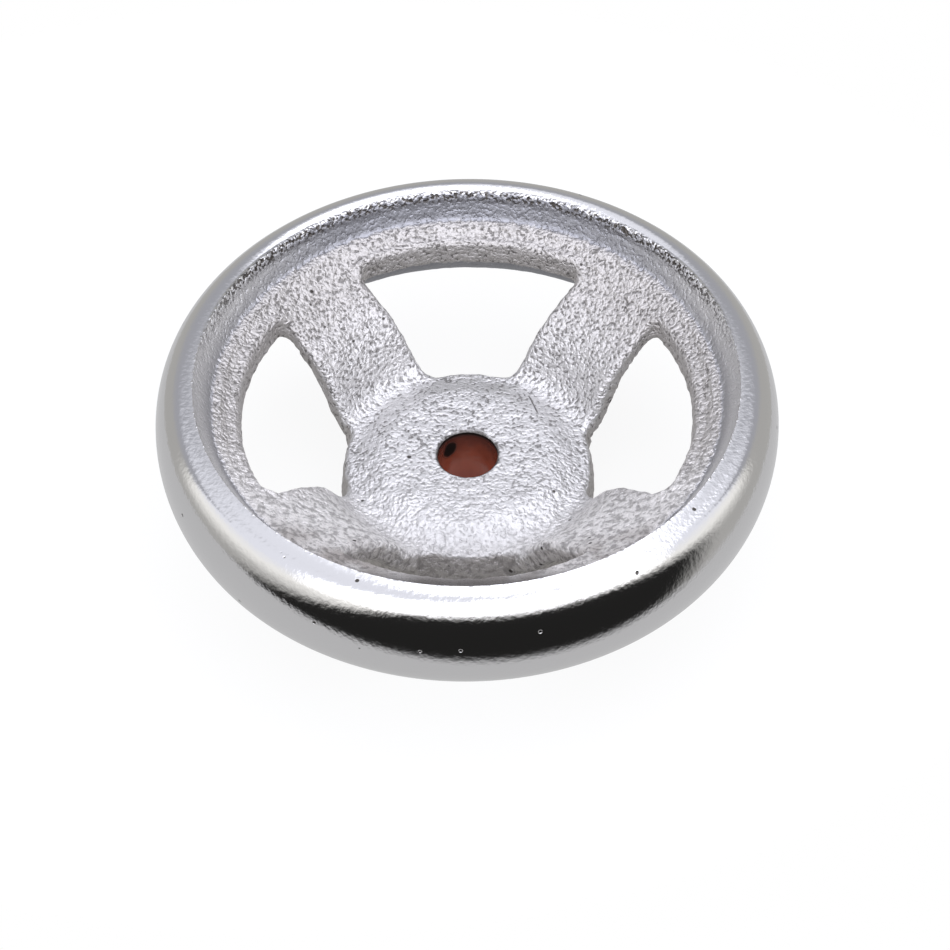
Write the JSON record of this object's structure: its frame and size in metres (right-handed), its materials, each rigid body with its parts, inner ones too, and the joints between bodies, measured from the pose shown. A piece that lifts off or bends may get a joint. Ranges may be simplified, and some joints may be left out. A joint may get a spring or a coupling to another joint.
{
  "type": "handwheel",
  "caption": "Dished machine handwheel cast in one piece: oval rim, web opened by windows into spokes, and a round hub with a plain through bore.",
  "frame": {"origin": "on the bore's axis, in the flat back face of the hub", "axes": "+Z along the bore axis, from the hub's back face to the operator; +X and +Y through the middles of two windows, so the spokes lie at 45 degrees to them"},
  "size_m": [0.1, 0.1, 0.0366],
  "materials": {
    "cast_chrome": "rough as-cast iron under thin chrome plate",
    "polished_chrome": "polished rim, chrome plated, with small casting pits",
    "bore_film": "drilled bore with a glossy red-brown protective film"
  },
  "bodies": {
    "root": {"handwheel": "cast_chrome"}
  },
  "joints": []
}
